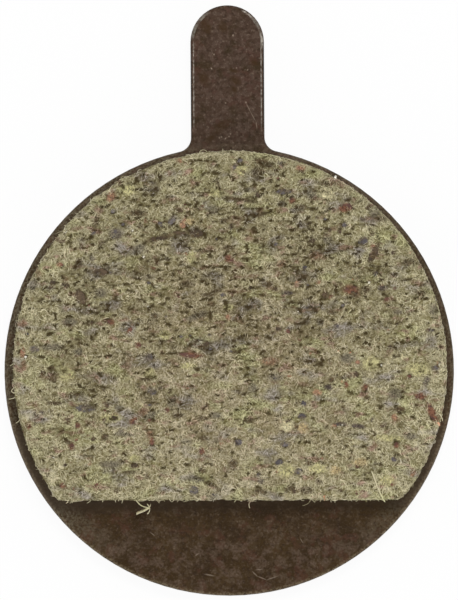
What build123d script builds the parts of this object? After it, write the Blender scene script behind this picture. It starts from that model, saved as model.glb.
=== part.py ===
from build123d import *
import os

# Bicycle disc brake pad: a stamped steel plate with a round tab, and a moulded lining bonded to its front.
# All sizes are in millimetres. The pad lies on its back: the origin is the centre of the round plate on its
# back face, +Z points out of the friction face and +Y points along the tab.

# Backing plate
plate_diameter = 22.0
plate_thickness = 1.8
tab_width = 3.6
tab_length = 6.9           # from the round edge of the plate to the tip of the tab
tab_root_radius = 0.7      # hollow corners where the tab grows out of the round edge
die_roll_radius = 0.2      # front edge, drawn round as the sheet was stamped
back_edge_break = 0.1      # back edge, dulled to take off the burr

# Friction lining
lining_thickness = 2.2
lining_margin = 0.4        # plate left bare round the lining, on average
lining_shift = 0.16        # how far the lining sits off the plate's centre, towards the tab
bare_depth = 4.7           # plate left bare below the lining's straight edge
lining_corner_radius = 0.35

# Places worked out from the sizes above
plate_radius = plate_diameter / 2
tab_tip_radius = tab_width / 2
tab_tip_centre_y = plate_radius + tab_length - tab_tip_radius
lining_radius = plate_radius - lining_margin
straight_edge_y = bare_depth - plate_radius


def plate_outline():
    """Disc and tab in one sheet: the tab's tip is a half round and its two roots are filleted."""
    disc = Circle(plate_radius)
    tab = Pos(0, tab_tip_centre_y / 2) * SlotCenterToCenter(tab_tip_centre_y, tab_width, rotation=90)
    outline = disc + tab
    roots = [v for v in outline.vertices() if 0 < v.Y < plate_radius and abs(v.X) < tab_width]
    return fillet(roots, tab_root_radius)


def make_backing_plate():
    """The stamping, with its rounded front edge and its dulled back edge."""
    plate = extrude(plate_outline(), plate_thickness)
    front_edges = plate.faces().sort_by(Axis.Z)[-1].edges()
    plate = fillet(front_edges, die_roll_radius)
    back_edges = plate.faces().sort_by(Axis.Z)[0].edges()
    return chamfer(back_edges, back_edge_break)


def lining_outline():
    """A disc cut off straight at the bottom, with its two corners rounded by the mould."""
    disc = Pos(0, lining_shift) * Circle(lining_radius)
    cut_off = Pos(0, straight_edge_y - plate_radius) * Rectangle(plate_diameter, plate_diameter)
    outline = disc - cut_off
    straight_edge = outline.edges().filter_by(GeomType.LINE)
    return fillet(straight_edge.vertices(), lining_corner_radius)


def make_friction_lining():
    """The moulded block, standing on the front face of the plate."""
    return Pos(0, 0, plate_thickness) * extrude(lining_outline(), lining_thickness)


os.makedirs("parts", exist_ok=True)
export_step(make_backing_plate(), "parts/backing_plate.step")
export_step(make_friction_lining(), "parts/friction_lining.step")
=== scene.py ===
import math
import random
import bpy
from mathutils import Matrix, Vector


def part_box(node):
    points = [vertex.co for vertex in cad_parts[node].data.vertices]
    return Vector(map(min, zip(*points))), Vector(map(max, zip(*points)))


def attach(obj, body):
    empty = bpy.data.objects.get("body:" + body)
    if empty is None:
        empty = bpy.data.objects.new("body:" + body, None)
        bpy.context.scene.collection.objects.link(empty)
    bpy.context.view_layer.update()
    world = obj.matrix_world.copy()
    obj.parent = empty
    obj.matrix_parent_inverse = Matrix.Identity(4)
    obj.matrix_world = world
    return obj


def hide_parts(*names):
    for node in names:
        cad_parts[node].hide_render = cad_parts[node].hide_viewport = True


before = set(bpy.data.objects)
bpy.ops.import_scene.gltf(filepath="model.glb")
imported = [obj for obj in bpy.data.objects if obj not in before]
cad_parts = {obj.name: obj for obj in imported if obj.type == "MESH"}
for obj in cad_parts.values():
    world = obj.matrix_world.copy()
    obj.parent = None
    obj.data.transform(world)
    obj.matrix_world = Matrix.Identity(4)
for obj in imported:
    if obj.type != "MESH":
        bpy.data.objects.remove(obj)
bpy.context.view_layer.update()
from types import SimpleNamespace

import bmesh
import bpy
import numpy as np
from mathutils import Matrix, Vector, kdtree, noise
from mathutils.geometry import interpolate_bezier

mm = 0.001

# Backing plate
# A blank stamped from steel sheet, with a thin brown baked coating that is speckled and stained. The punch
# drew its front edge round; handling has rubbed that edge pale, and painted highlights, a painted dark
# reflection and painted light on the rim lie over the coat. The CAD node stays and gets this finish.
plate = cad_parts["backing_plate"]
_, plate_high = (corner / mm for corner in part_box("backing_plate"))
plate_radius = plate_high.x
front_z = plate_high.z
die_roll = 0.2
tab_root_y = 12.0
tab_tip_radius = 1.8
tab_tip_y = plate_high.y - tab_tip_radius
photo_width, photo_height = 458, 600
disc_centre_in_photo = Vector((229.2, 370.98))
disc_radius_in_photo = 224.7
photo_turn = math.radians(-0.35)
pixel = plate_radius / disc_radius_in_photo
photo_right = Vector((math.cos(photo_turn), math.sin(photo_turn), 0))
photo_up = Vector((-math.sin(photo_turn), math.cos(photo_turn), 0))

# Pale marks in the coating, from one pixel of the photograph to another and so many pixels wide.
scratches = [
    (246, 103, 251, 113, 1.4), (250, 111, 256, 122, 1.3), (256, 121, 257, 129, 1.5),
    (204, 574, 215, 576, 2.0), (252, 571, 258, 577, 1.5), (257, 576, 267, 580, 1.5),
    (266, 580, 278, 576, 1.4), (255, 570, 263, 569, 1.2), (150, 532, 155, 536, 1.2),
    (195, 556, 199, 553, 1.4), (300, 538, 303, 543, 1.2),
]
specks = [
    (233, 35, 233, 36, 1.6), (214, 54, 214, 55, 1.3), (211, 68, 212, 69, 1.5),
    (246, 102, 246, 103, 1.4), (221, 137, 222, 137, 1.3), (225, 139, 226, 138, 1.3),
    (229, 136, 229, 137, 1.3), (219, 138, 220, 138, 1.0), (230, 134, 231, 134, 1.0),
    (236, 68, 237, 68, 1.0), (225, 103, 226, 103, 1.2), (247, 70, 248, 70, 1.0),
]
# Stretches of the tab's rounded tip that are rubbed pale with painted highlights on them, brighter ones and
# duller ones.
rubbed_and_highlit_edges = [(243, 11, 251, 18, 6), (260, 36, 262, 45, 6)]
dulled_and_highlit_edges = [(192, 38, 197, 23, 7), (198, 22, 207, 14, 7), (251, 17, 259, 28, 7), (261, 31, 262, 46, 8)]
# Dark olive stains on the tab.
tab_stains = [
    (204, 22, 208, 31, 14), (222, 25, 224, 29, 11), (233, 79, 238, 82, 10), (233, 88, 235, 90, 7),
    (202, 76, 206, 82, 13), (214, 132, 226, 123, 13), (207, 141, 214, 137, 9), (253, 62, 258, 64, 6),
    (229, 69, 238, 72, 5),
]


def from_photo(right, down):
    """The place on the pad, in millimetres, that a pixel of the photograph shows."""
    off_centre = Vector((right, down)) - disc_centre_in_photo
    return (photo_right * off_centre.x - photo_up * off_centre.y) * pixel


def srgb(red, green, blue):
    """A colour as it looks on screen, 0 to 255, turned into the linear values that shaders take."""
    channels = [value / 255 for value in (red, green, blue)]
    return tuple(c / 12.92 if c <= 0.04045 else ((c + 0.055) / 1.055) ** 2.4 for c in channels) + (1.0,)


def fill(tree, node, inputs):
    """Gives a node its inputs, each a value or another node's output."""
    for name, value in inputs.items():
        if isinstance(value, bpy.types.NodeSocket):
            tree.links.new(value, node.inputs[name])
        else:
            node.inputs[name].default_value = value


def add(tree, kind, inputs=None, **options):
    """Adds one shader node."""
    made = tree.nodes.new("ShaderNode" + kind)
    for name, value in options.items():
        setattr(made, name, value)
    fill(tree, made, inputs or {})
    return made


def maths(tree, operation, first, second=0.0):
    """One Math node's result."""
    return add(tree, "Math", {0: first, 1: second}, operation=operation).outputs[0]


def times(tree, first, *others):
    """Two or more values multiplied."""
    for other in others:
        first = maths(tree, "MULTIPLY", first, other)
    return first


def remap(tree, value, low, high, to_low=0.0, to_high=1.0):
    """A value from low..high spread over to_low..to_high, and held at the ends."""
    inputs = {"Value": value, "From Min": low, "From Max": high, "To Min": to_low, "To Max": to_high}
    return add(tree, "MapRange", inputs).outputs[0]


def band(tree, value, low, high, soft):
    """1 where a value lies between low and high, fading out over soft on both sides."""
    rise = remap(tree, value, low - soft, low)
    return times(tree, rise, remap(tree, value, high, high + soft, 1.0, 0.0))


def blend(tree, share, under, over, blend_type="MIX"):
    """Two colours mixed by a share."""
    inputs = {0: share, 6: under, 7: over}
    return add(tree, "Mix", inputs, data_type="RGBA", blend_type=blend_type).outputs[2]


def place_on(tree):
    """The place on the piece, which its patterns read."""
    return add(tree, "TexCoord").outputs["Object"]


def grain(tree, size, detail=2.0, stretch=(1.0, 1.0, 1.0), offset=(0.0, 0.0, 0.0)):
    """Noise whose lumps are about size millimetres across, times stretch along each axis."""
    scale = tuple(1 / (size * mm * s) for s in stretch)
    mapped = add(tree, "Mapping", {"Vector": place_on(tree), "Scale": scale, "Location": offset}).outputs[0]
    return add(tree, "TexNoise", {"Vector": mapped, "Scale": 1.0, "Detail": detail}).outputs[0]


def new_material(name):
    """A material, its node tree and its Principled shader."""
    material = bpy.data.materials.new(name)
    material.use_nodes = True
    tree = material.node_tree
    return material, tree, tree.nodes["Principled BSDF"]


def mark(tree, x0, y0, x1, y1, width):
    """1 along a mark between two pixels of the photograph, and 0 beside it."""
    start, end = from_photo(x0, y0), from_photo(x1, y1)
    run = end - start
    half_length = (run.length / pixel + width) / 2 * pixel * mm
    half_width = width / 2 * pixel * mm
    inputs = {
        "Vector": place_on(tree),
        "Location": (start + end) / 2 * mm,
        "Rotation": (0, 0, math.atan2(run.y, run.x)),
        "Scale": (half_length, half_width, 1.0),
    }
    local = add(tree, "Mapping", inputs, vector_type="TEXTURE").outputs[0]
    reach = add(tree, "VectorMath", {0: local}, operation="LENGTH").outputs["Value"]
    return remap(tree, reach, 0.4, 1.0, 1.0, 0.0)


def all_marks(tree, marks):
    """1 along any of the marks."""
    total = 0.0
    for ends in marks:
        total = maths(tree, "MAXIMUM", total, mark(tree, *ends))
    return total


def plate_places(tree):
    """A place on the plate: across and along it, below its front, in from its rim and towards its tab."""
    axes = add(tree, "SeparateXYZ", {0: place_on(tree)}).outputs
    flat = add(tree, "CombineXYZ", {"X": axes["X"], "Y": axes["Y"]}).outputs[0]
    reach = add(tree, "VectorMath", {0: flat}, operation="LENGTH").outputs["Value"]
    at = SimpleNamespace()
    at.sideways = maths(tree, "DIVIDE", axes["X"], mm)
    at.along = maths(tree, "DIVIDE", axes["Y"], mm)
    at.below = maths(tree, "SUBTRACT", front_z, maths(tree, "DIVIDE", axes["Z"], mm))
    at.inwards = maths(tree, "SUBTRACT", plate_radius, maths(tree, "DIVIDE", reach, mm))
    at.towards_tab = remap(tree, at.along, tab_root_y / 2, tab_root_y)
    return at


def baked_coat(tree, at):
    """The coat's own brown, ruddy or filmed over in patches; also gives the film and the thin spots."""
    broad = remap(tree, grain(tree, 1.5, 3.0), 0.36, 0.64)
    low_base = blend(tree, broad, srgb(44, 28, 3), srgb(55, 38, 9))
    tab_base = blend(tree, broad, srgb(46, 32, 10), srgb(57, 41, 21))
    coat = blend(tree, at.towards_tab, low_base, tab_base)
    ruddy = remap(tree, grain(tree, 0.7, 4.0, offset=(9, 3, 0)), 0.52, 0.62, 0.0, 0.6)
    coat = blend(tree, ruddy, coat, srgb(72, 43, 30))
    cover = grain(tree, 0.9, 6.0, offset=(6, 0, 0))
    film = remap(tree, maths(tree, "ADD", cover, times(tree, at.towards_tab, 0.09)), 0.45, 0.58)
    film_colour = blend(tree, at.towards_tab, srgb(76, 58, 38), srgb(79, 58, 50))
    film_share = times(tree, film, remap(tree, at.towards_tab, 0.0, 1.0, 0.25, 0.45))
    coat = blend(tree, film_share, coat, film_colour)
    thin = remap(tree, grain(tree, 0.2, 4.0, offset=(0, 7, 0)), 0.5, 0.64, 0.0, 0.65)
    return blend(tree, thin, coat, srgb(42, 27, 12)), film, thin


def speckled_coat(tree, at, coat, film):
    """The coat with pale clumps, flakes low on the disc, dust and the tab's stains; also gives the dust."""
    clumps = remap(tree, grain(tree, 0.22, 6.0, offset=(1, 5, 0)), 0.49, 0.58)
    clumps = times(tree, clumps, remap(tree, film, 0.0, 1.0, 0.08, 0.45))
    coat = blend(tree, clumps, coat, blend(tree, at.towards_tab, srgb(84, 70, 54), srgb(91, 74, 63)))
    flakes = remap(tree, grain(tree, 0.6, 8.0, offset=(8, 6, 0)), 0.5, 0.57, 0.0, 0.62)
    crumbs = remap(tree, grain(tree, 0.12, 3.0), 0.4, 0.6, 0.2, 1.0)
    flakes = times(tree, flakes, band(tree, at.along, -10.2, -8.6, 1.2), crumbs)
    coat = blend(tree, flakes, coat, srgb(92, 75, 62))
    dust = remap(tree, grain(tree, 0.1, 4.0, offset=(4, 0, 0)), 0.53, 0.67, 0.0, 0.7)
    dust = times(tree, dust, remap(tree, at.towards_tab, 0.0, 1.0, 0.75, 1.0))
    dust = times(tree, dust, remap(tree, clumps, 0.0, 0.45, 0.3, 1.0))
    coat = blend(tree, dust, coat, srgb(114, 97, 82))
    stains = remap(tree, grain(tree, 0.3, 4.0, offset=(5, 8, 0)), 0.36, 0.56, 0.45, 0.95)
    stains = times(tree, stains, all_marks(tree, tab_stains))
    return blend(tree, stains, coat, srgb(54, 35, 10)), dust


def rim_wear_and_painted_light(tree, at, coat):
    """The coat ground thin round the low rim, plus painted light there, beside the lining and on the
    turned-down edge.
    """
    patchy = remap(tree, grain(tree, 0.11, 4.0), 0.42, 0.62, 0.1, 1.0)
    # Paler round the low rim: partly the coat ground thin, partly painted light, strongest on the left.
    ground_off_and_painted_light = times(
        tree,
        band(tree, at.inwards, -0.1, 0.6, 0.6),
        remap(tree, at.along, -9.0, -6.5, 0.0, 0.7),
        remap(tree, maths(tree, "ABSOLUTE", at.sideways), 1.4, 2.6, 0.1, 1.0),
        remap(tree, at.sideways, -9.0, 9.0, 1.2, 0.65),
        patchy,
    )
    coat = blend(tree, ground_off_and_painted_light, coat, srgb(104, 95, 77))
    # Painted light: the rim beside the lining is lightened where the lining's shadow falls, more on the left.
    painted_light_to_the_left = remap(tree, at.sideways, -9.0, 0.0, 0.75, 0.45)
    painted_light_beside_lining = times(tree, band(tree, at.along, -6.5, -3.0, 0.5), painted_light_to_the_left)
    coat = blend(tree, painted_light_beside_lining, coat, srgb(82, 69, 56))
    # Painted reflection: a pale line on the turned-down edge, strongest low on the disc.
    painted_edge_reflection = times(
        tree,
        remap(tree, at.inwards, 0.02, die_roll, 1.0, 0.0),
        remap(tree, at.inwards, -0.2, 0.0),
        remap(tree, at.below, die_roll, 0.3, 1.0, 0.0),
        remap(tree, at.along, -9.0, 6.0, 0.8, 0.16),
        patchy,
    )
    return blend(tree, painted_edge_reflection, coat, srgb(134, 120, 96))


def marked_front(tree, at, coat):
    """The coat with pale dots all over, and with the scratches and specks of the plate's front."""
    inputs = {"Vector": place_on(tree), "Scale": 1 / (0.45 * mm)}
    cells = add(tree, "TexVoronoi", inputs, voronoi_dimensions="2D")
    dots = remap(tree, cells.outputs["Distance"], 0.02, 0.12, 0.4, 0.0)
    dots = times(tree, dots, remap(tree, cells.outputs["Color"], 0.55, 0.85))
    dots = times(tree, dots, remap(tree, at.towards_tab, 0.0, 1.0, 0.5, 1.0))
    coat = blend(tree, dots, coat, srgb(128, 112, 98))
    front = remap(tree, at.below, 0.01, 0.02, 1.0, 0.0)
    lines = times(tree, all_marks(tree, scratches), front, 0.4)
    coat = blend(tree, lines, coat, srgb(156, 140, 122))
    bright = times(tree, all_marks(tree, specks), front, 0.8)
    return blend(tree, bright, coat, srgb(160, 142, 124))


def worn_and_highlit_edge(tree, at, coat):
    """The coat with a painted dark reflection down the tab's flanks, wear and painted highlights, and the
    sheared wall.
    """
    on_tab = remap(tree, at.along, tab_root_y - 0.3, tab_root_y + 0.3)
    on_flank = times(tree, on_tab, remap(tree, at.along, tab_tip_y - 0.6, tab_tip_y + 0.3, 1.0, 0.0))
    # Painted dark reflection on the rounded edge, strongest along the tab's flanks.
    painted_dark_edge = band(tree, at.below, 0.09, die_roll, 0.05)
    painted_dark_edge = times(tree, painted_dark_edge, remap(tree, on_flank, 0.0, 1.0, 0.15, 0.85))
    coat = blend(tree, painted_dark_edge, coat, srgb(48, 50, 48))
    # Pale wear with painted highlights on the rounded edge: a dull band at the marks, a thin line down the
    # flanks and the rubbed bright stretches.
    broken = remap(tree, grain(tree, 0.16, 3.0, offset=(2, 2, 0)), 0.38, 0.62, 0.15, 1.0)
    handled_and_highlit = times(tree, all_marks(tree, dulled_and_highlit_edges), remap(tree, broken, 0.15, 1.0, 0.2, 0.7))
    dulled_and_highlit = times(tree, band(tree, at.below, 0.006, 0.12, 0.004), handled_and_highlit)
    coat = blend(tree, dulled_and_highlit, coat, srgb(142, 136, 125))
    worn_and_highlit = times(tree, band(tree, at.below, 0.004, 0.016, 0.003), on_flank, 0.6)
    rubbed = times(tree, band(tree, at.below, 0.02, 0.06, 0.012), all_marks(tree, rubbed_and_highlit_edges))
    worn_and_highlit = times(tree, maths(tree, "MAXIMUM", worn_and_highlit, rubbed), broken)
    coat = blend(tree, worn_and_highlit, coat, srgb(190, 182, 170))
    streaks = remap(tree, grain(tree, 0.12, 2.0, (1.0, 1.0, 25.0)), 0.4, 0.7)
    sheared = band(tree, at.below, die_roll, 0.55 * front_z, 0.08)
    return blend(tree, times(tree, sheared, streaks), coat, srgb(104, 90, 76))


def coated_steel():
    material, tree, shader = new_material("coated_steel")
    at = plate_places(tree)
    coat, film, thin = baked_coat(tree, at)
    coat, dust = speckled_coat(tree, at, coat, film)
    coat = rim_wear_and_painted_light(tree, at, coat)
    coat = marked_front(tree, at, coat)
    coat = worn_and_highlit_edge(tree, at, coat)
    bump = add(tree, "Bump", {"Strength": 0.35, "Distance": 0.02 * mm, "Height": thin}, invert=True)
    fill(tree, shader, {"Base Color": coat, "Roughness": remap(tree, dust, 0.0, 0.7, 0.55, 0.7)})
    fill(tree, shader, {"Specular IOR Level": 0.1, "Normal": bump.outputs[0]})
    return material


plate.data.materials.clear()
plate.data.materials.append(coated_steel())

# Friction lining block
# One block of fibre compound, pressed and cured on the plate's front and then ground flat across its face.
# The grinding tears fibres and grains out along X, so the face is matted and full of small torn pits.
lining_low, lining_high = (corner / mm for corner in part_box("friction_lining"))
lining_radius = (lining_high.x - lining_low.x) / 2
lining_centre_y = lining_high.y - lining_radius
straight_edge_y = lining_low.y
face_z = lining_high.z
seat_z = lining_low.z
corner_angle = math.asin((straight_edge_y - lining_centre_y) / lining_radius)
arc_length = lining_radius * (math.pi - 2 * corner_angle)
flat_length = 2 * lining_radius * math.cos(corner_angle)
block_cell = 0.07
swell_height = 0.02
matting_height = 0.035
face_sunk = 0.04
pit_depth = 0.12
edge_droop = 0.6
worn_corner_radius = 1.1
worn_corner_y = straight_edge_y + worn_corner_radius
worn_corner_x = math.sqrt((lining_radius - worn_corner_radius) ** 2 - (worn_corner_y - lining_centre_y) ** 2)
# Places where the edge has crumbled: a pixel of the photograph, then how far round and how deep, in pixels.
crumbled = [(16, 407, 15, 3.5), (13, 374, 6, 2.5), (222, 500, 5, 2.5), (24, 430, 7, 2.0), (306, 500, 8, 2.0)]
notches = [(from_photo(right, down), reach * pixel, depth * pixel) for right, down, reach, depth in crumbled]


def smooth(value, low, high):
    """0 below low, 1 above high, and an even ramp between."""
    share = min(max((value - low) / (high - low), 0.0), 1.0)
    return share * share * (3 - 2 * share)


def lumps(x, y, across, along, layer):
    """Smooth noise on the face, with lumps about across by along millimetres."""
    return noise.noise(Vector((x / across, y / along, layer)))


def past_worn_corner(x, y):
    """How far a place lies past the rubbed right-hand corner of the face, and 0 elsewhere."""
    right, down = x - worn_corner_x, worn_corner_y - y
    arc_end = (lining_centre_y - worn_corner_y) / worn_corner_x
    if right <= 0 or down <= right * arc_end:
        return 0.0
    return max(math.hypot(right, down) - worn_corner_radius, 0.0)


def edge_wave(x, y):
    """How far the block's outline waves out or in, in millimetres; more on the left than on the right."""
    left = smooth(-x, -2.0, 6.0)
    wave = (0.03 + 0.1 * left) * lumps(x, y, 0.8, 0.8, 12.0) - 0.05 * left + 0.03 * smooth(x, 2.0, 6.0)
    for place, reach, depth in notches:
        wave -= depth * (1 - smooth(math.hypot(x - place.x, y - place.y), 0.0, reach))
    return wave


def inside(x, y):
    """Distance in from the nearest edge of the friction face; below zero is off the face."""
    from_arc = lining_radius - math.hypot(x, y - lining_centre_y)
    past = past_worn_corner(x, y)
    return -past if past > 0 else min(from_arc, y - straight_edge_y) + edge_wave(x, y)


def starved(x, y):
    """Where the compound has little fibre, from 0 to 1: blotches along X, mostly in the upper half."""
    inner = max(0.25 + 0.75 * smooth(inside(x, y), 0.0, 3.0), 0.75 * smooth(y, 6.0, 9.0))
    broad = inner * (0.1 + 0.9 * smooth(y - 0.35 * x, -4.5, 2.5))
    blotch = 0.6 * lumps(x, y, 1.5, 0.9, 5.0) + 0.55 * lumps(x, y, 0.6, 0.36, 9.0)
    return smooth(blotch + 0.35 * broad, 0.1, 0.7)


def torn(x, y):
    """How deep the face is torn, from 0 to 1."""
    tear = 0.55 * lumps(x, y, 0.36, 0.2, 2.0) + 0.5 * lumps(x, y, 0.2, 0.14, 4.0)
    crack = lumps(x, y, 0.7, 0.16, 8.0) + 0.4 * lumps(x, y, 2.0, 1.2, 3.0)
    tear += 0.1 * starved(x, y) + 0.025 - 0.085 * smooth(-y, -4.0, 2.0)
    return max(smooth(tear, 0.13, 0.41), 0.8 * smooth(crack, 0.45, 0.7))


def face_height(x, y):
    """Height of the compound over the ground face, in millimetres; past the edge it droops."""
    swell = swell_height * lumps(x, y, 2.5, 2.5, 1.0)
    matting = matting_height * lumps(x, y, 0.17, 0.17, 6.0)
    droop = edge_droop * max(-inside(x, y), 0.0)
    return swell + matting - droop - face_sunk - pit_depth * torn(x, y)


def wall_fret(place):
    """How far the side wall stands out of its moulded surface, in millimetres; mostly a little behind it."""
    return 0.08 * noise.noise(place / 0.28) - 0.03 + edge_wave(place.x, place.y)


def edge_place(share):
    """A place on the face's outline, by its share of the way round, and the direction off the face there."""
    way = share * (arc_length + flat_length)
    if way < arc_length:
        angle = corner_angle + way / lining_radius
        outward = Vector((math.cos(angle), math.sin(angle), 0))
        return Vector((0, lining_centre_y, 0)) + outward * lining_radius, outward
    return Vector((way - arc_length - flat_length / 2, straight_edge_y, 0)), Vector((0, -1, 0))


def show(name, data):
    """A new object for finished data."""
    piece = bpy.data.objects.new(name, data)
    bpy.context.scene.collection.objects.link(piece)
    return piece


def finish_mesh(shape, mesh, soft=False):
    """Brings a shape from millimetres to metres and puts it in a mesh, with soft or plain faces."""
    bmesh.ops.scale(shape, vec=(mm,) * 3, verts=shape.verts)
    for face in shape.faces:
        face.smooth = soft
    shape.to_mesh(mesh)
    shape.free()


def remeshed(name, source, cell):
    """A closed, even mesh of a CAD node, in millimetres."""
    shape = bmesh.new()
    shape.from_mesh(source.data)
    bmesh.ops.scale(shape, vec=(1 / mm,) * 3, verts=shape.verts)
    bmesh.ops.remove_doubles(shape, verts=shape.verts, dist=1e-4)
    mesh = bpy.data.meshes.new(name)
    shape.to_mesh(mesh)
    shape.free()
    piece = show(name, mesh)
    remesh = piece.modifiers.new("even cells", "REMESH")
    remesh.mode = "VOXEL"
    remesh.voxel_size = cell
    piece.data = bpy.data.meshes.new_from_object(piece.evaluated_get(bpy.context.evaluated_depsgraph_get()))
    piece.modifiers.clear()
    return piece


def map_block(shape):
    """A UV map of the smooth block: its face, its wall in strips below that, its back in a free corner."""
    layer = shape.loops.layers.uv.new("OFBake")
    across = lining_high.x - lining_low.x
    strips, strip_pitch, strip_height, side_gap = 3, 0.06, 0.05, 0.01
    face_bottom, back_bottom, back_size = 0.19, 0.94, 0.05
    for face in shape.faces:
        middle = face.calc_center_median()
        share = math.atan2(middle.x, middle.y - lining_centre_y) / math.tau + 0.5
        strip = min(int(share * strips), strips - 1)
        for loop in face.loops:
            x, y, z = loop.vert.co
            right, up = (x - lining_low.x) / across, (y - lining_low.y) / across
            if face.normal.z > 0.5:
                loop[layer].uv = (right, face_bottom + up)
            elif face.normal.z < -0.5:
                loop[layer].uv = (back_size * right, back_bottom + back_size * up)
            else:
                from_middle = math.atan2(x, y - lining_centre_y) / math.tau + 0.5 - share
                way = (share + (from_middle + 0.5) % 1.0 - 0.5) * strips - strip
                rise = side_gap / 2 + strip_pitch * strip + strip_height * (z - seat_z) / (face_z - seat_z)
                loop[layer].uv = (side_gap + (1 - 2 * side_gap) * way, rise)


def roughen(piece):
    """Tears the face, frets the side wall, rubs one corner round and leaves the bonded side flat."""
    shape = bmesh.new()
    shape.from_mesh(piece.data)
    shape.normal_update()
    map_block(shape)
    depth = shape.verts.layers.float.new("depth")
    poor = shape.verts.layers.float.new("starved")
    for vert in shape.verts:
        x, y, z = vert.co
        upward = smooth(vert.normal.z, 0.1, 0.8)
        outward = Vector((vert.normal.x, vert.normal.y, 0.0))
        wall = smooth(outward.length, 0.2, 0.8) * smooth(z, seat_z, seat_z + 0.2)
        past = past_worn_corner(x, y)
        corner = Vector((x - worn_corner_x, y - worn_corner_y, 0.0)).normalized()
        height = face_height(x, y)
        fret = wall_fret(vert.co)
        behind = edge_wave(x, y) - fret
        # The depth of the pits and of the wall's recesses is kept; the compound darkens them with it, which
        # is painted shade.
        pit = upward * smooth(-height, face_sunk - 0.01, face_sunk + pit_depth)
        vert[depth] = max(pit, wall * smooth(behind, 0.04, 0.08))
        vert[poor] = upward * starved(x, y) + wall * smooth(noise.noise(vert.co / 0.6), 0.0, 0.5)
        vert.co += outward * fret * wall - corner * past
        vert.co.z += upward * max(height, -0.3)
    facing_down = [face for face in shape.faces if face.normal.z < -0.9]
    bonded = [face for face in facing_down if face.calc_center_median().z < seat_z + 0.1]
    bmesh.ops.dissolve_faces(shape, faces=bonded, use_verts=True)
    finish_mesh(shape, piece.data, soft=True)


def compound_tint():
    """A node group: the compound's own colour, in patches of straw, khaki, green, grey and brown."""
    tree = bpy.data.node_groups.new("compound_tint", "ShaderNodeTree")
    tree.interface.new_socket("Tint", in_out="OUTPUT", socket_type="NodeSocketColor")
    flat = (1.5, 0.9, 1.0)
    straw = remap(tree, grain(tree, 1.2, 2.0, flat), 0.38, 0.62)
    middle = blend(tree, straw, srgb(133, 122, 90), srgb(142, 132, 100))
    outer = blend(tree, straw, srgb(134, 126, 92), srgb(144, 136, 101))
    reach = add(tree, "VectorMath", {0: place_on(tree)}, operation="LENGTH").outputs["Value"]
    tint = blend(tree, remap(tree, reach, 5.0 * mm, 9.5 * mm), middle, outer)
    green = remap(tree, grain(tree, 1.1, 2.0, flat, (3, 1, 0)), 0.53, 0.7)
    tint = blend(tree, green, tint, srgb(138, 133, 92))
    grey = remap(tree, grain(tree, 1.0, 2.0, flat, (7, 4, 0)), 0.54, 0.7)
    tint = blend(tree, grey, tint, srgb(126, 118, 99))
    brown = remap(tree, grain(tree, 0.5, 2.0, flat, (1, 9, 0)), 0.57, 0.7)
    tint = blend(tree, brown, tint, srgb(124, 104, 80))
    out = tree.nodes.new("NodeGroupOutput")
    tree.links.new(tint, out.inputs["Tint"])
    return tree


tint_group = compound_tint()


def value_of(tree, name):
    """A mesh attribute as a value."""
    return add(tree, "Attribute", attribute_name=name).outputs["Fac"]


def shaded(tree, colour, level, dark, light):
    """A colour multiplied by a level between two settings, given for red, green and blue."""
    return blend(tree, 1.0, colour, blend(tree, level, (*dark, 1.0), (*light, 1.0)), "MULTIPLY")


def rubbed_tint(tree, level, dark, light):
    """The compound's colour, shaded by a level, and what has rubbed off on it from the chips."""
    tint = add(tree, "Group", node_tree=tint_group).outputs["Tint"]
    smear = add(tree, "Attribute", attribute_name="smear").outputs
    rubbed_off = shaded(tree, smear["Color"], level, (0.42, 0.42, 0.42), (2.0, 2.0, 2.0))
    return blend(tree, smear["Alpha"], shaded(tree, tint, level, dark, light), rubbed_off)


def fine_grain(tree):
    """The smallest unevenness of the compound, from 0 to 1."""
    return remap(tree, grain(tree, 0.08, 3.0), 0.32, 0.68)


def matt(tree, shader, colour):
    """A dry, dull surface in the given colour, like all of the compound."""
    fill(tree, shader, {"Base Color": colour, "Roughness": 0.85, "Specular IOR Level": 0.15})


def compound():
    material, tree, shader = new_material("fibre_compound")
    colour = rubbed_tint(tree, fine_grain(tree), (0.5, 0.46, 0.28), (1.65, 1.7, 1.95))
    colour = blend(tree, times(tree, value_of(tree, "starved"), 0.35), colour, srgb(82, 69, 47))
    # Painted shade: the torn pits and the wall's recesses are darkened.
    colour = blend(tree, times(tree, value_of(tree, "depth"), 0.85), colour, srgb(60, 46, 21))
    matt(tree, shader, colour)
    return material


block = remeshed("lining_block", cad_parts["friction_lining"], block_cell)
roughen(block)
block.data.materials.clear()
block.data.materials.append(compound())
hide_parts("friction_lining")
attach(block, "root")

# Chips and dyed tufts
# Flakes of copper, slag, graphite and rubber that are mixed into the compound and cut off flush by the
# grinding, which rubs their colour into the fibres round them, and tufts of paler or darker fibre. Those
# placed by the photograph are each a pixel, a length and a width in pixels and, if askew, a turn in degrees.
chip_draws = random.Random(11)
chip_corners, chip_thickness = 9, 0.2
chips_in_wall = 0.3
smear_reach = 1.2
colour_spots = []
red_chips = [
    (345, 208, 15, 9, 10), (351, 290, 17, 10, -10), (229, 259, 9, 8), (420, 396, 12, 7, -5),
    (432, 413, 22, 8, -62), (134, 420, 10, 6, 40), (202, 451, 6, 7), (191, 355, 24, 6, -5),
    (130, 330, 7, 5, 40), (138, 345, 6, 6), (111, 322, 6, 8, 60), (292, 201, 7, 6),
    (346, 384, 5, 7), (365, 387, 7, 6), (29, 426, 6, 6), (167, 410, 5, 5),
    (72, 446, 6, 8), (98, 484, 6, 4), (63, 485, 6, 5), (78, 425, 5, 6),
    (396, 445, 5, 6), (152, 441, 5, 8),
]
pink_chips = [
    (111, 197, 10, 8, 50), (183, 225, 6, 7, 30), (180, 161, 5, 5), (60, 265, 7, 5),
    (317, 392, 9, 6), (23, 352, 5, 10), (300, 168, 9, 5), (394, 417, 6, 6),
    (228, 317, 5, 5),
]
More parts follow.
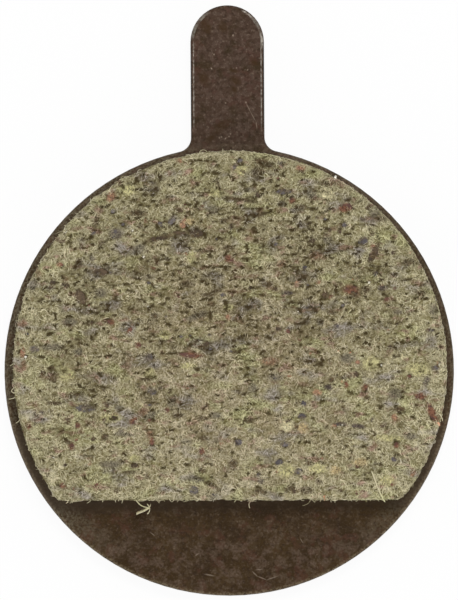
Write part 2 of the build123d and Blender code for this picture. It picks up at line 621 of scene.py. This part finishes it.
slate_chips = [
    (86, 408, 20, 8), (149, 357, 9, 9), (116, 234, 13, 11), (336, 326, 6, 5),
    (426, 381, 6, 11, -20), (298, 471, 8, 6), (285, 444, 9, 5), (261, 481, 7, 5),
    (240, 161, 6, 4, 20), (235, 167, 7, 4, 60), (283, 192, 16, 5), (35, 349, 10, 7),
    (194, 490, 10, 9), (172, 221, 6, 12, -30), (152, 392, 10, 6), (435, 368, 8, 6),
]
graphite_chips = [
    (363, 241, 11, 8, 30), (375, 274, 5, 6), (382, 288, 10, 6), (287, 293, 12, 5),
    (430, 330, 9, 4), (328, 387, 9, 6), (303, 403, 6, 5), (302, 416, 9, 6),
    (394, 459, 6, 5), (279, 462, 8, 6), (238, 442, 8, 7), (42, 412, 5, 4),
    (340, 424, 16, 4), (358, 426, 14, 5, -8),
]
brown_chips = [
    (374, 253, 7, 22, -25), (81, 297, 10, 15, 20), (105, 437, 7, 6), (399, 409, 12, 6),
    (68, 421, 7, 7), (101, 272, 16, 7), (197, 234, 14, 9), (160, 238, 26, 6, 15),
    (180, 233, 14, 4),
]
# Tiny pale chips whose light colour stands in for glints: painted highlights.
glint_chips = [
    (335, 178, 3, 6, -10), (369, 283, 3, 3), (144, 257, 3, 3), (66, 231, 3, 5),
    (53, 458, 4, 3), (26, 357, 3, 3), (133, 231, 3, 3), (113, 264, 2, 3),
    (201, 180, 2, 3), (439, 364, 2, 3), (381, 365, 2, 2),
]
# Copper chips; their light colours are painted glints.
copper_glints = [(438, 424, 3, 5, 40), (409, 253, 2, 2), (324, 496, 2, 2)]
straw_tufts = [(303, 428, 10, 10, 30), (190, 222, 10, 6), (360, 462, 14, 8), (335, 470, 10, 8)]
rust_tufts = [
    (316, 256, 12, 8), (281, 264, 10, 7, 20), (413, 473, 8, 5, 50), (24, 322, 6, 6),
    (38, 272, 5, 9, 30), (270, 361, 16, 8), (24, 365, 6, 8), (150, 434, 7, 8), (144, 412, 12, 8, 20),
]
pale_tufts = [(327, 195, 14, 11), (286, 426, 12, 12), (399, 356, 16, 8)]
green_tufts = [
    (216, 193, 14, 9), (418, 369, 22, 12), (110, 418, 22, 8, 5), (241, 170, 10, 10, 20),
    (134, 458, 11, 7), (390, 438, 26, 6, -5), (128, 190, 16, 10), (286, 470, 16, 14),
    (318, 468, 18, 9), (67, 374, 16, 14), (371, 363, 16, 13), (387, 480, 14, 10),
    (192, 258, 8, 12), (229, 307, 10, 6), (165, 335, 10, 10), (188, 366, 14, 6),
    (150, 372, 10, 8),
]
grey_tufts = [
    (213, 210, 12, 8), (293, 279, 11, 6), (197, 316, 22, 6, 20), (311, 195, 10, 9),
    (374, 213, 10, 9), (327, 240, 9, 7), (398, 312, 9, 5), (433, 310, 9, 10),
    (320, 322, 8, 7), (34, 285, 5, 16, -10), (70, 322, 15, 8), (101, 293, 11, 9),
    (53, 347, 22, 7), (118, 408, 6, 6), (124, 434, 21, 4, -5), (110, 464, 19, 7),
    (275, 377, 15, 7), (172, 402, 6, 11, -30), (216, 415, 11, 6), (186, 441, 11, 4),
    (196, 479, 17, 6, -10), (347, 358, 15, 9), (395, 394, 14, 11), (410, 436, 11, 6),
    (150, 415, 13, 8, 20), (138, 249, 16, 8, 25), (79, 352, 8, 7), (253, 388, 8, 9),
    (282, 204, 10, 6), (250, 190, 12, 5),
]
dark_tufts = [
    (96, 222, 7, 12), (138, 213, 18, 7), (262, 163, 22, 7, -20), (257, 174, 10, 15),
    (241, 200, 34, 4, -9), (219, 186, 3, 16, 15), (300, 207, 14, 6), (224, 221, 9, 5),
    (257, 215, 12, 5), (206, 251, 22, 4), (228, 248, 12, 5), (187, 284, 14, 6),
    (208, 295, 14, 4), (216, 291, 13, 4, 12), (303, 276, 11, 5), (306, 322, 8, 6),
    (155, 316, 9, 6), (379, 219, 16, 6), (366, 289, 8, 7), (409, 262, 15, 7),
    (420, 293, 11, 5), (331, 312, 8, 5), (52, 368, 7, 5), (53, 379, 8, 5),
    (76, 394, 19, 5), (56, 403, 19, 4), (146, 379, 15, 3), (203, 347, 13, 7),
    (235, 352, 11, 4), (178, 415, 11, 6), (310, 361, 15, 4), (203, 418, 13, 4),
    (233, 463, 9, 9), (212, 485, 19, 3, -25), (260, 491, 13, 5), (306, 490, 13, 8),
    (290, 488, 13, 6), (69, 442, 11, 5, -35), (130, 472, 14, 4), (203, 438, 8, 5),
    (268, 284, 11, 6), (79, 263, 6, 9), (328, 184, 18, 5), (248, 420, 10, 6),
]


def add_chip(shape, seat, length, width):
    """One flake, sunk in the compound with its ground top just under the surface that its seat lies on."""
    rim = bmesh.ops.create_circle(shape, cap_ends=True, segments=chip_corners, radius=0.5)["verts"]
    for vert in rim:
        vert.co *= chip_draws.uniform(0.75, 1.15)
    bmesh.ops.scale(shape, vec=(length, width, 1), verts=rim)
    raised = bmesh.ops.extrude_face_region(shape, geom=[rim[0].link_faces[0]])["geom"]
    raised_verts = [item for item in raised if isinstance(item, bmesh.types.BMVert)]
    sunk = chip_draws.uniform(0.02, 0.05)
    for vert in raised_verts:
        vert.co.z = -sunk - chip_draws.uniform(0.0, 0.03)
    bmesh.ops.translate(shape, vec=(0, 0, -chip_thickness), verts=rim)
    bmesh.ops.transform(shape, matrix=seat, verts=rim + raised_verts)


def face_seat(place, turn):
    """Where a chip in the ground face sits."""
    return Matrix.Translation((place.x, place.y, face_z)) @ Matrix.Rotation(turn, 4, "Z")


def scattered_seat():
    """A chance place for a chip, in the face or, less often, in the side wall."""
    turn = chip_draws.gauss(0, 0.5)
    if chip_draws.random() < chips_in_wall:
        place, outward = edge_place(chip_draws.random())
        place -= outward * (0.02 + past_worn_corner(place.x, place.y))
        place.z = chip_draws.uniform(seat_z + 0.3, face_z - 0.3)
        facing = outward.to_track_quat("Z", "Y").to_matrix().to_4x4()
        return Matrix.Translation(place) @ facing @ Matrix.Rotation(turn, 4, "Z")
    while True:
        x = chip_draws.uniform(lining_low.x, lining_high.x)
        y = chip_draws.uniform(lining_low.y, lining_high.y)
        if inside(x, y) > 0.2:
            return face_seat(Vector((x, y, 0)), turn)


def placed_seat(right, down, length, width, degrees=0):
    """Seat, length and width of a chip or tuft that is placed by the photograph."""
    return face_seat(from_photo(right, down), math.radians(degrees)), length * pixel, width * pixel


def colour_round(seats, smear, clear):
    """Notes the colour to be found round each seat, and the share of fibres that is missing there."""
    for seat, length, width in seats:
        reach = seat @ Matrix.Diagonal((length, width, 0.5, 1.0))
        colour_spots.append((seat.translation, reach.inverted(), smear, clear))


def chip_finish(name, dark, light, roughness):
    material, tree, shader = new_material(name)
    kind = remap(tree, grain(tree, 1.4, 1.0), 0.4, 0.6)
    fine = remap(tree, grain(tree, 0.09, 3.0, (1.6, 0.8, 1.0)), 0.3, 0.7)
    colour = blend(tree, kind, srgb(*dark), srgb(*light))
    colour = shaded(tree, colour, fine, (0.65, 0.65, 0.65), (1.6, 1.6, 1.6))
    fill(tree, shader, {"Base Color": colour, "Roughness": roughness, "Specular IOR Level": 0.3})
    return material


def lay_chips(kind, placed, scattered, lengths, smear, clear, dark, light, roughness):
    """The chips of one kind: the placed ones, and some scattered ones with lengths in a range."""
    name = "lining_chips_" + kind
    shape = bmesh.new()
    seats = [placed_seat(*chip) for chip in placed]
    for _ in range(scattered):
        length = chip_draws.uniform(*lengths)
        seats.append((scattered_seat(), length, length * chip_draws.uniform(0.45, 0.9)))
    for seat, length, width in seats:
        add_chip(shape, seat, length, width)
    colour_round(seats, srgb(*smear), clear)
    bmesh.ops.recalc_face_normals(shape, faces=shape.faces)
    mesh = bpy.data.meshes.new(name)
    finish_mesh(shape, mesh)
    mesh.materials.append(chip_finish(kind + "_chip", dark, light, roughness))
    piece = show(name, mesh)
    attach(piece, "root")


# Each kind of chip: those placed, how many more there are and how long, the smear round it and the share of
# fibres gone there, then its own darkest and lightest colour and its roughness.
slate = (93, 84, 74)
chip_kinds = {
    "red": (red_chips, 40, (0.12, 0.25), (104, 71, 55), 0.9, (78, 49, 38), (100, 65, 52), 0.6),
    "pink": (pink_chips, 30, (0.12, 0.25), (144, 111, 87), 0.6, (120, 84, 64), (140, 104, 80), 0.6),
    "slate": (slate_chips, 30, (0.12, 0.3), slate, 0.55, (82, 75, 72), (100, 93, 90), 0.6),
    "graphite": (graphite_chips, 20, (0.12, 0.25), (78, 68, 60), 0.8, (60, 54, 54), (76, 69, 69), 0.5),
    "brown": (brown_chips, 120, (0.12, 0.4), (80, 66, 47), 0.55, (62, 49, 34), (84, 68, 50), 0.7),
    # The pale chips' and the copper chips' light colours are painted glints.
    "pale": (glint_chips, 12, (0.06, 0.12), (120, 113, 90), 0.6, (200, 194, 176), (226, 222, 208), 0.4),
    "copper": (copper_glints, 8, (0.05, 0.1), (206, 132, 100), 0.9, (220, 164, 132), (242, 206, 184), 0.35),
}
for kind, settings in chip_kinds.items():
    lay_chips(kind, *settings)
# Each kind of tuft: those placed, their colour and the share of fibres gone there.
tuft_kinds = [
    (straw_tufts, (168, 150, 112), 0.0), (rust_tufts, (124, 98, 76), 0.1), (pale_tufts, (180, 172, 138), 0.0),
    (green_tufts, (168, 162, 118), 0.0), (grey_tufts, (103, 96, 80), 0.15), (dark_tufts, (82, 70, 51), 0.5),
]
for tufts, smear, clear in tuft_kinds:
    colour_round([placed_seat(*spot) for spot in tufts], srgb(*smear), clear)
no_smear = (*srgb(*slate)[:3], 0.0)

spot_tree = kdtree.KDTree(len(colour_spots))
for number, spot in enumerate(colour_spots):
    spot_tree.insert(spot[0], number)
spot_tree.balance()


def colour_at(place):
    """The colour of the chip or tuft at a place, its strength from 0 to 1, and the share of fibres gone."""
    colour, strongest, bare = no_smear[:3], 0.0, 0.0
    for _, number, _ in spot_tree.find_range(place, smear_reach):
        _, to_spot, smear, clear = colour_spots[number]
        strength = 1 - smooth(2 * (to_spot @ place).length, 0.6, 1.5)
        if strength > strongest:
            colour, strongest, bare = smear[:3], strength, clear * strength
    return colour, strongest, bare


# The chips' and tufts' colours are rubbed into the compound round them.
block_smear = []
for vert in block.data.vertices:
    colour, strength, _ = colour_at(vert.co / mm)
    block_smear.extend((*colour, strength))
block.data.attributes.new("smear", "FLOAT_COLOR", "POINT").data.foreach_set("color", block_smear)

# Matted fibres
# Short curled fibres of the compound that the grinding has laid bare. They lie on the face in tufts, half
# sunk in it, thin out over the torn pits and the chips, and hang out over the edges as a fringe.
fibre_draws = random.Random(7)
fibre_stations = (0.0, 0.12, 0.5, 0.88, 1.0)
fibre_sides = 3
face_pieces, fibres_in_piece = 3, 10800
fringe_count, wall_count = 2000, 3500


def lying_fibre(x, y, heading, length, curl):
    """The centre line of one fibre on the face: an arc that dips into the face at both ends."""
    bend = curl if abs(curl) > 0.05 else 0.05
    points = []
    for station in fibre_stations:
        place_x = x + length / bend * (math.sin(heading + bend * station) - math.sin(heading))
        place_y = y - length / bend * (math.cos(heading + bend * station) - math.cos(heading))
        lift = 0.035 * math.sin(math.pi * station) - 0.015
        points.append(Vector((place_x, place_y, face_z + face_height(place_x, place_y) + lift)))
    return points


def fibre_length(from_edge):
    """Most fibres are about a fifth of a millimetre long, and half as long again near the edge."""
    length = min(max(fibre_draws.lognormvariate(-1.7, 0.35), 0.1), 0.4)
    return length * (1.5 - 0.5 * smooth(from_edge, 0.3, 1.5))


def rubbed(place):
    """The smear that one fibre has taken up from a chip or tuft near it."""
    colour, strength, _ = colour_at(place)
    return (*colour, strength * fibre_draws.uniform(0.45, 0.8))


def tuft():
    """A few fibres that lie together: each has a centre line, a width, a lightness and a smear."""
    while True:
        x = fibre_draws.uniform(lining_low.x, lining_high.x)
        y = fibre_draws.uniform(lining_low.y, lining_high.y)
        if inside(x, y) > 0.02 and fibre_draws.random() > 0.15 * starved(x, y):
            break
    heading = fibre_draws.uniform(0, math.tau)
    curl = fibre_draws.gauss(0, 1.6)
    # Painted light: the fibres are lighter towards the straight edge and towards the low corners.
    painted_light_low_down = 0.05 * smooth(-y, -3.0, 3.0) + 0.05 * smooth(-y, -1.0, 4.0) * smooth(abs(x), 4.0, 8.0)
    shade = fibre_draws.gauss(0.595, 0.16) + painted_light_low_down - 0.25 * starved(x, y)
    fibres = []
    for _ in range(fibre_draws.randint(2, 5)):
        place_x = x + fibre_draws.gauss(0, 0.09)
        place_y = y + fibre_draws.gauss(0, 0.09)
        turned = heading + fibre_draws.gauss(0, 0.6)
        length = fibre_length(inside(x, y))
        line = lying_fibre(place_x, place_y, turned, length, curl + fibre_draws.gauss(0, 0.5))
        middle = line[2]
        on_face = all(inside(point.x, point.y) > 0.0 for point in line)
        bare = max(torn(middle.x, middle.y), colour_at(middle)[2])
        if on_face and fibre_draws.random() > bare:
            width = fibre_draws.triangular(0.035, 0.085, 0.055)
            fibres.append((line, width, shade + fibre_draws.gauss(0, 0.13), rubbed(middle)))
    return fibres


def fringe_fibre():
    """A fibre that hangs out over the face's edge, furthest on the left; none if it is out too far."""
    place, outward = edge_place(fibre_draws.random())
    start = place + outward * (edge_wave(place.x, place.y) - fibre_draws.uniform(0.04, 0.2))
    heading = math.atan2(outward.y, outward.x) + fibre_draws.gauss(0, 0.9)
    line = lying_fibre(start.x, start.y, heading, fibre_length(0.0), fibre_draws.gauss(0, 1.8))
    furthest = 0.08 + 0.12 * smooth(-outward.x, 0.2, 0.9) + 0.08 * smooth(-outward.y, 0.8, 1.0)
    reach = furthest * fibre_draws.random() ** 3
    if any(inside(point.x, point.y) <= -reach for point in line):
        return []
    width = fibre_draws.uniform(0.03, 0.055)
    return [(line, width, fibre_draws.gauss(0.58, 0.18), rubbed(line[0]))]


def wall_fibre():
    """A fibre that lies along the block's side wall; none, mostly, over a pit or a chip."""
    share = fibre_draws.random()
    slope = fibre_draws.gauss(0, 0.8)
    length = fibre_length(0.0)
    share_step = length * math.cos(slope) / (arc_length + flat_length)
    height = fibre_draws.uniform(seat_z + 0.1, face_z - 0.1)
    line = []
    for station in fibre_stations:
        place, outward = edge_place((share + station * share_step) % 1.0)
        place.z = min(max(height + station * length * math.sin(slope), seat_z + 0.05), face_z - 0.05)
        lift = 0.02 * math.sin(math.pi * station) - 0.02
        line.append(place + outward * (wall_fret(place) + lift - past_worn_corner(place.x, place.y)))
    middle = line[2]
    shade = fibre_draws.gauss(0.5, 0.16) + 0.25 * noise.noise(middle / 0.5)
    behind = edge_wave(middle.x, middle.y) - wall_fret(middle)
    bare = max(smooth(behind, 0.05, 0.09), colour_at(middle)[2])
    if fibre_draws.random() <= bare:
        return []
    return [(line, fibre_draws.uniform(0.05, 0.08), shade, rubbed(middle))]


def gather(count, grow):
    """Fibres that are grown in one way, until there are enough."""
    fibres = []
    while len(fibres) < count:
        fibres.extend(grow())
    return fibres


def fibre_section():
    """The section that fibres are drawn with: a triangle with one edge up."""
    section = bpy.data.curves.new("fibre_section", "CURVE")
    corners = section.splines.new("POLY")
    corners.points.add(fibre_sides - 1)
    for number, corner in enumerate(corners.points):
        angle = math.pi / 2 - math.tau * number / fibre_sides
        corner.co = (0.5 * math.cos(angle), 0.5 * math.sin(angle), 0.0, 1.0)
    corners.use_cyclic_u = True
    return show("fibre_section", section)


def fibre_mesh(name, fibres):
    """Thin rods with pointed ends along the fibres' centre lines, in one mesh in millimetres."""
    section = fibre_section()
    curve = bpy.data.curves.new(name, "CURVE")
    curve.dimensions = "3D"
    curve.bevel_mode = "OBJECT"
    curve.bevel_object = section
    for line, width, _, _ in fibres:
        spline = curve.splines.new("POLY")
        spline.points.add(len(line) - 1)
        spline.points.foreach_set("co", [value for point in line for value in (*point, 1.0)])
        radii = [0.0, 0.85 * width] + [width] * (len(line) - 4) + [0.8 * width, 0.0]
        spline.points.foreach_set("radius", radii)
    holder = show(name + "_line", curve)
    mesh = bpy.data.meshes.new_from_object(holder.evaluated_get(bpy.context.evaluated_depsgraph_get()))
    bpy.data.objects.remove(holder)
    bpy.data.objects.remove(section)
    mesh.name = name
    return mesh


def colour_fibres(mesh, fibres):
    """Gives each fibre its lightness and its smear."""
    per_fibre = len(mesh.vertices) // len(fibres)
    tones = np.repeat([tone for _, _, tone, _ in fibres], per_fibre)
    smears = np.repeat([smear for _, _, _, smear in fibres], per_fibre, axis=0)
    mesh.attributes.new("tone", "FLOAT", "POINT").data.foreach_set("value", tones.ravel())
    mesh.attributes.new("smear", "FLOAT_COLOR", "POINT").data.foreach_set("color", smears.ravel())


def map_fibres(mesh, count):
    """A UV map with a square for each fibre: its length runs across, its underside lies beside the rest."""
    per_fibre = len(mesh.vertices) // count
    columns = math.ceil(math.sqrt(count))
    corners = np.empty(len(mesh.loops), dtype=np.int32)
    mesh.loops.foreach_get("vertex_index", corners)
    fibre, corner = corners // per_fibre, corners % per_fibre
    along = corner // fibre_sides / (per_fibre / fibre_sides - 1)
    around = np.array((0.5, 1.0, 0.0))[corner % fibre_sides]
    corner_of_square = np.stack((fibre % columns, fibre // columns), axis=1)
    margin = 0.15
    places = corner_of_square + margin + (1 - 2 * margin) * np.stack((along, around), axis=1)
    for layer in list(mesh.uv_layers):
        mesh.uv_layers.remove(layer)
    mesh.uv_layers.new(name="OFBake").uv.foreach_set("vector", (places / columns).ravel())


def close_ends(mesh):
    """Merges the points of each pointed end and brings the mesh to metres."""
    shape = bmesh.new()
    shape.from_mesh(mesh)
    bmesh.ops.remove_doubles(shape, verts=shape.verts, dist=1e-5)
    finish_mesh(shape, mesh, soft=True)


def fibre_finish():
    material, tree, shader = new_material("fibre")
    uneven = remap(tree, fine_grain(tree), 0.0, 1.0, -0.18, 0.18)
    tone = remap(tree, maths(tree, "ADD", value_of(tree, "tone"), uneven), 0.0, 1.0)
    matt(tree, shader, rubbed_tint(tree, tone, (0.53, 0.49, 0.28), (3.0, 3.12, 4.1)))
    return material


straw_fibre = fibre_finish()


def lay_fibres(name, fibres):
    """A piece made of the given fibres, which all have the same number of points."""
    mesh = fibre_mesh(name, fibres)
    colour_fibres(mesh, fibres)
    map_fibres(mesh, len(fibres))
    close_ends(mesh)
    mesh.materials.append(straw_fibre)
    piece = show(name, mesh)
    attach(piece, "root")


for number in range(face_pieces):
    lay_fibres("lining_fibres_%d" % number, gather(fibres_in_piece, tuft))
lay_fibres("lining_fringe", gather(fringe_count, fringe_fibre))
lay_fibres("lining_wall_fibres", gather(wall_count, wall_fibre))

# Loose strands
# A few longer strands of the same fibre that lie on the block or stick out of it where the photograph shows
# them: each is five stops, a pixel and a height in millimetres over the plate, then a width in pixels and a
# lightness.
strand_steps = 4
strands = [
    ([(135, 497, 2.1), (138, 502, 2.0), (143, 506, 1.7), (149, 507, 1.5), (151, 503, 1.4)], 1.4, 0.8),
    ([(137, 514, 0.9), (138, 513, 1.0), (143, 511, 1.3), (148, 508, 1.5), (149, 507, 1.5)], 3.4, 0.85),
    ([(147, 503, 1.7), (149, 506, 1.6), (150, 509, 1.4), (149, 512, 1.2), (147, 514, 1.1)], 1.2, 0.8),
    ([(371, 470, 2.2), (373, 475, 2.26), (377, 486, 2.27), (382, 497, 2.22), (385, 502, 2.1)], 1.6, 1.0),
    ([(252, 497, 2.1), (251, 500, 2.1), (249, 503, 1.9), (249, 506, 1.7), (250, 508, 1.6)], 1.0, 0.75),
    ([(312, 497, 2.1), (310, 500, 2.1), (308, 503, 1.9), (304, 505, 1.7), (302, 505, 1.6)], 0.9, 0.3),
    ([(18, 381, 2.1), (14, 382, 2.1), (13, 385, 2.0), (15, 388, 2.0), (18, 386, 2.1)], 1.1, 0.85),
    ([(18, 385, 2.1), (14, 388, 2.1), (12, 391, 2.0), (15, 393, 2.0), (19, 392, 2.1)], 1.1, 0.85),
    ([(199, 156, 2.1), (200, 152, 2.1), (202, 150.5, 2.1), (205, 150.5, 2.1), (208, 153, 2.1)], 0.9, 0.6),
    ([(438, 413, 2.2), (440, 415, 2.2), (441, 417, 2.1), (442, 419, 2.0), (442, 421, 1.9)], 1.3, 1.0),
    ([(70, 495, 2.1), (69, 498, 2.1), (68, 500, 2.0), (68, 502, 1.9), (66, 503, 1.8)], 1.2, 0.8),
    ([(117, 340, 2.16), (122, 350, 2.22), (125, 360, 2.23), (126, 370, 2.22), (123, 380, 2.16)], 1.1, 0.1),
    ([(72, 397, 2.16), (75, 393, 2.22), (79, 392, 2.23), (82, 395, 2.22), (83, 399, 2.16)], 1.1, 0.1),
]
# Short hairs along the edge, from a pixel inside it to one at or past it. The one from (18, 328) to
# (14, 343) also stands in for a highlight along the block's left edge, a painted highlight.
hairs = [
    (17, 358, 10, 366), (18, 328, 14, 343), (15, 342, 13, 354), (19, 391, 19, 405), (19, 404, 20, 414),
    (19, 394, 9, 399), (21, 418, 16, 423), (93, 496, 87, 503), (100, 495, 103, 502), (113, 496, 116, 502),
    (122, 495, 122, 503), (161, 496, 159, 502), (179, 496, 177, 502), (185, 495, 188, 501),
    (237, 495, 234, 502), (328, 496, 331, 502), (346, 496, 348, 501), (223, 154, 223, 149),
    (229, 154, 231, 150), (212, 156, 209, 151), (355, 193, 367, 202), (367, 202, 378, 213),
    (400, 235, 406, 244),
]
hair_width, hair_tone, hair_bow = 0.9, 0.7, 0.12
hair_height, hair_droop = 2.18, 0.25


def curve_through(stops):
    """A smooth line through the stops, with a few steps between each two."""
    padded = [2 * stops[0] - stops[1], *stops, 2 * stops[-1] - stops[-2]]
    line = [stops[0]]
    for before, start, end, after in zip(padded, padded[1:], padded[2:], padded[3:]):
        lead_in, lead_out = (end - before) / 6, (after - start) / 6
        line.extend(interpolate_bezier(start, start + lead_in, end - lead_out, end, strand_steps + 1)[1:])
    return line


def strand(stops, width, tone):
    """One strand, as a centre line, a width, a lightness and a smear."""
    places = []
    for right, down, height in stops:
        places.append(from_photo(right, down) + Vector((0, 0, front_z + height)))
    return curve_through(places), width * pixel, tone, no_smear


def hair(right, down, end_right, end_down):
    """A short strand that bows a little and droops towards its end."""
    run_right, run_down = end_right - right, end_down - down
    stops = []
    for share in (0.0, 0.25, 0.5, 0.75, 1.0):
        bow = hair_bow * math.sin(math.pi * share)
        place = (right + share * run_right + bow * run_down, down + share * run_down - bow * run_right)
        stops.append((*place, hair_height - hair_droop * share))
    return strand(stops, hair_width, hair_tone)


loose = [strand(*strand_shape) for strand_shape in strands] + [hair(*ends) for ends in hairs]
lay_fibres("lining_strands", loose)

# Floor, light and camera
# A white studio floor, a broad soft lamp a little to the tab's side of straight above, which throws the
# lining's short shadow on the bare plate, and a pale surrounding, brightest low down and away from the tab.
floor_half, floor_drop = 600, 0.02
white_share = 0.94
floor_shape = bmesh.new()
bmesh.ops.create_grid(floor_shape, x_segments=1, y_segments=1, size=floor_half)
bmesh.ops.translate(floor_shape, vec=(0, 0, -floor_drop), verts=floor_shape.verts)
floor = show("floor", bpy.data.meshes.new("floor"))
finish_mesh(floor_shape, floor.data)


def seen_directly(tree):
    """1 for rays that show the background: from the camera, mirrored or through glass."""
    path = add(tree, "LightPath").outputs
    mirrored = maths(tree, "MAXIMUM", path["Is Glossy Ray"], path["Is Transmission Ray"])
    return maths(tree, "MAXIMUM", path["Is Camera Ray"], mirrored)


def white_floor():
    material = bpy.data.materials.new("white_floor")
    material.use_nodes = True
    tree = material.node_tree
    tree.nodes.clear()
    lit = add(tree, "BsdfDiffuse", {"Color": srgb(248, 248, 248)}).outputs[0]
    white = add(tree, "Emission", {"Color": srgb(255, 255, 255), "Strength": 1.0}).outputs[0]
    share = times(tree, seen_directly(tree), white_share)
    both = add(tree, "MixShader", {0: share, 1: lit, 2: white}).outputs[0]
    add(tree, "OutputMaterial", {"Surface": both})
    return material


floor.data.materials.append(white_floor())

world = bpy.data.worlds.new("studio")
bpy.context.scene.world = world
world.use_nodes = True
sky = world.node_tree
direction = add(sky, "SeparateXYZ", {0: add(sky, "TexCoord").outputs["Generated"]}).outputs
level = remap(sky, direction["Z"], 0.3, 0.75, 1.05, 0.42)
level = times(sky, level, remap(sky, direction["Y"], -0.8, 0.8, 1.4, 0.6))
level = remap(sky, seen_directly(sky), 0.0, 1.0, level, 1.0)
fill(sky, sky.nodes["Background"], {"Strength": level, "Color": srgb(255, 255, 255)})

lamp_place = Vector((0.02, 0.075, 0.29))
lamp = show("key_lamp", bpy.data.lights.new("key_lamp", "AREA"))
lamp.data.shape = "DISK"
lamp.data.size = 0.08
lamp.data.energy = 0.4
lamp.location = lamp_place
lamp.rotation_euler = (-lamp_place).to_track_quat("-Z", "Y").to_euler()

lens = 1200.0
sensor = 36.0
photo_middle = Vector((photo_width / 2, photo_height / 2))
rim_height = (front_z - die_roll) * mm
camera_distance = photo_height * pixel * mm * lens / sensor
camera = show("camera", bpy.data.cameras.new("camera"))
camera.data.lens = lens
camera.data.sensor_width = sensor
camera.data.clip_start = 0.01
camera.data.clip_end = 5.0
camera.location = from_photo(*photo_middle) * mm + Vector((0, 0, rim_height + camera_distance))
camera.rotation_euler = (0, 0, photo_turn)
bpy.context.scene.camera = camera
bpy.context.scene.view_settings.view_transform = "Standard"
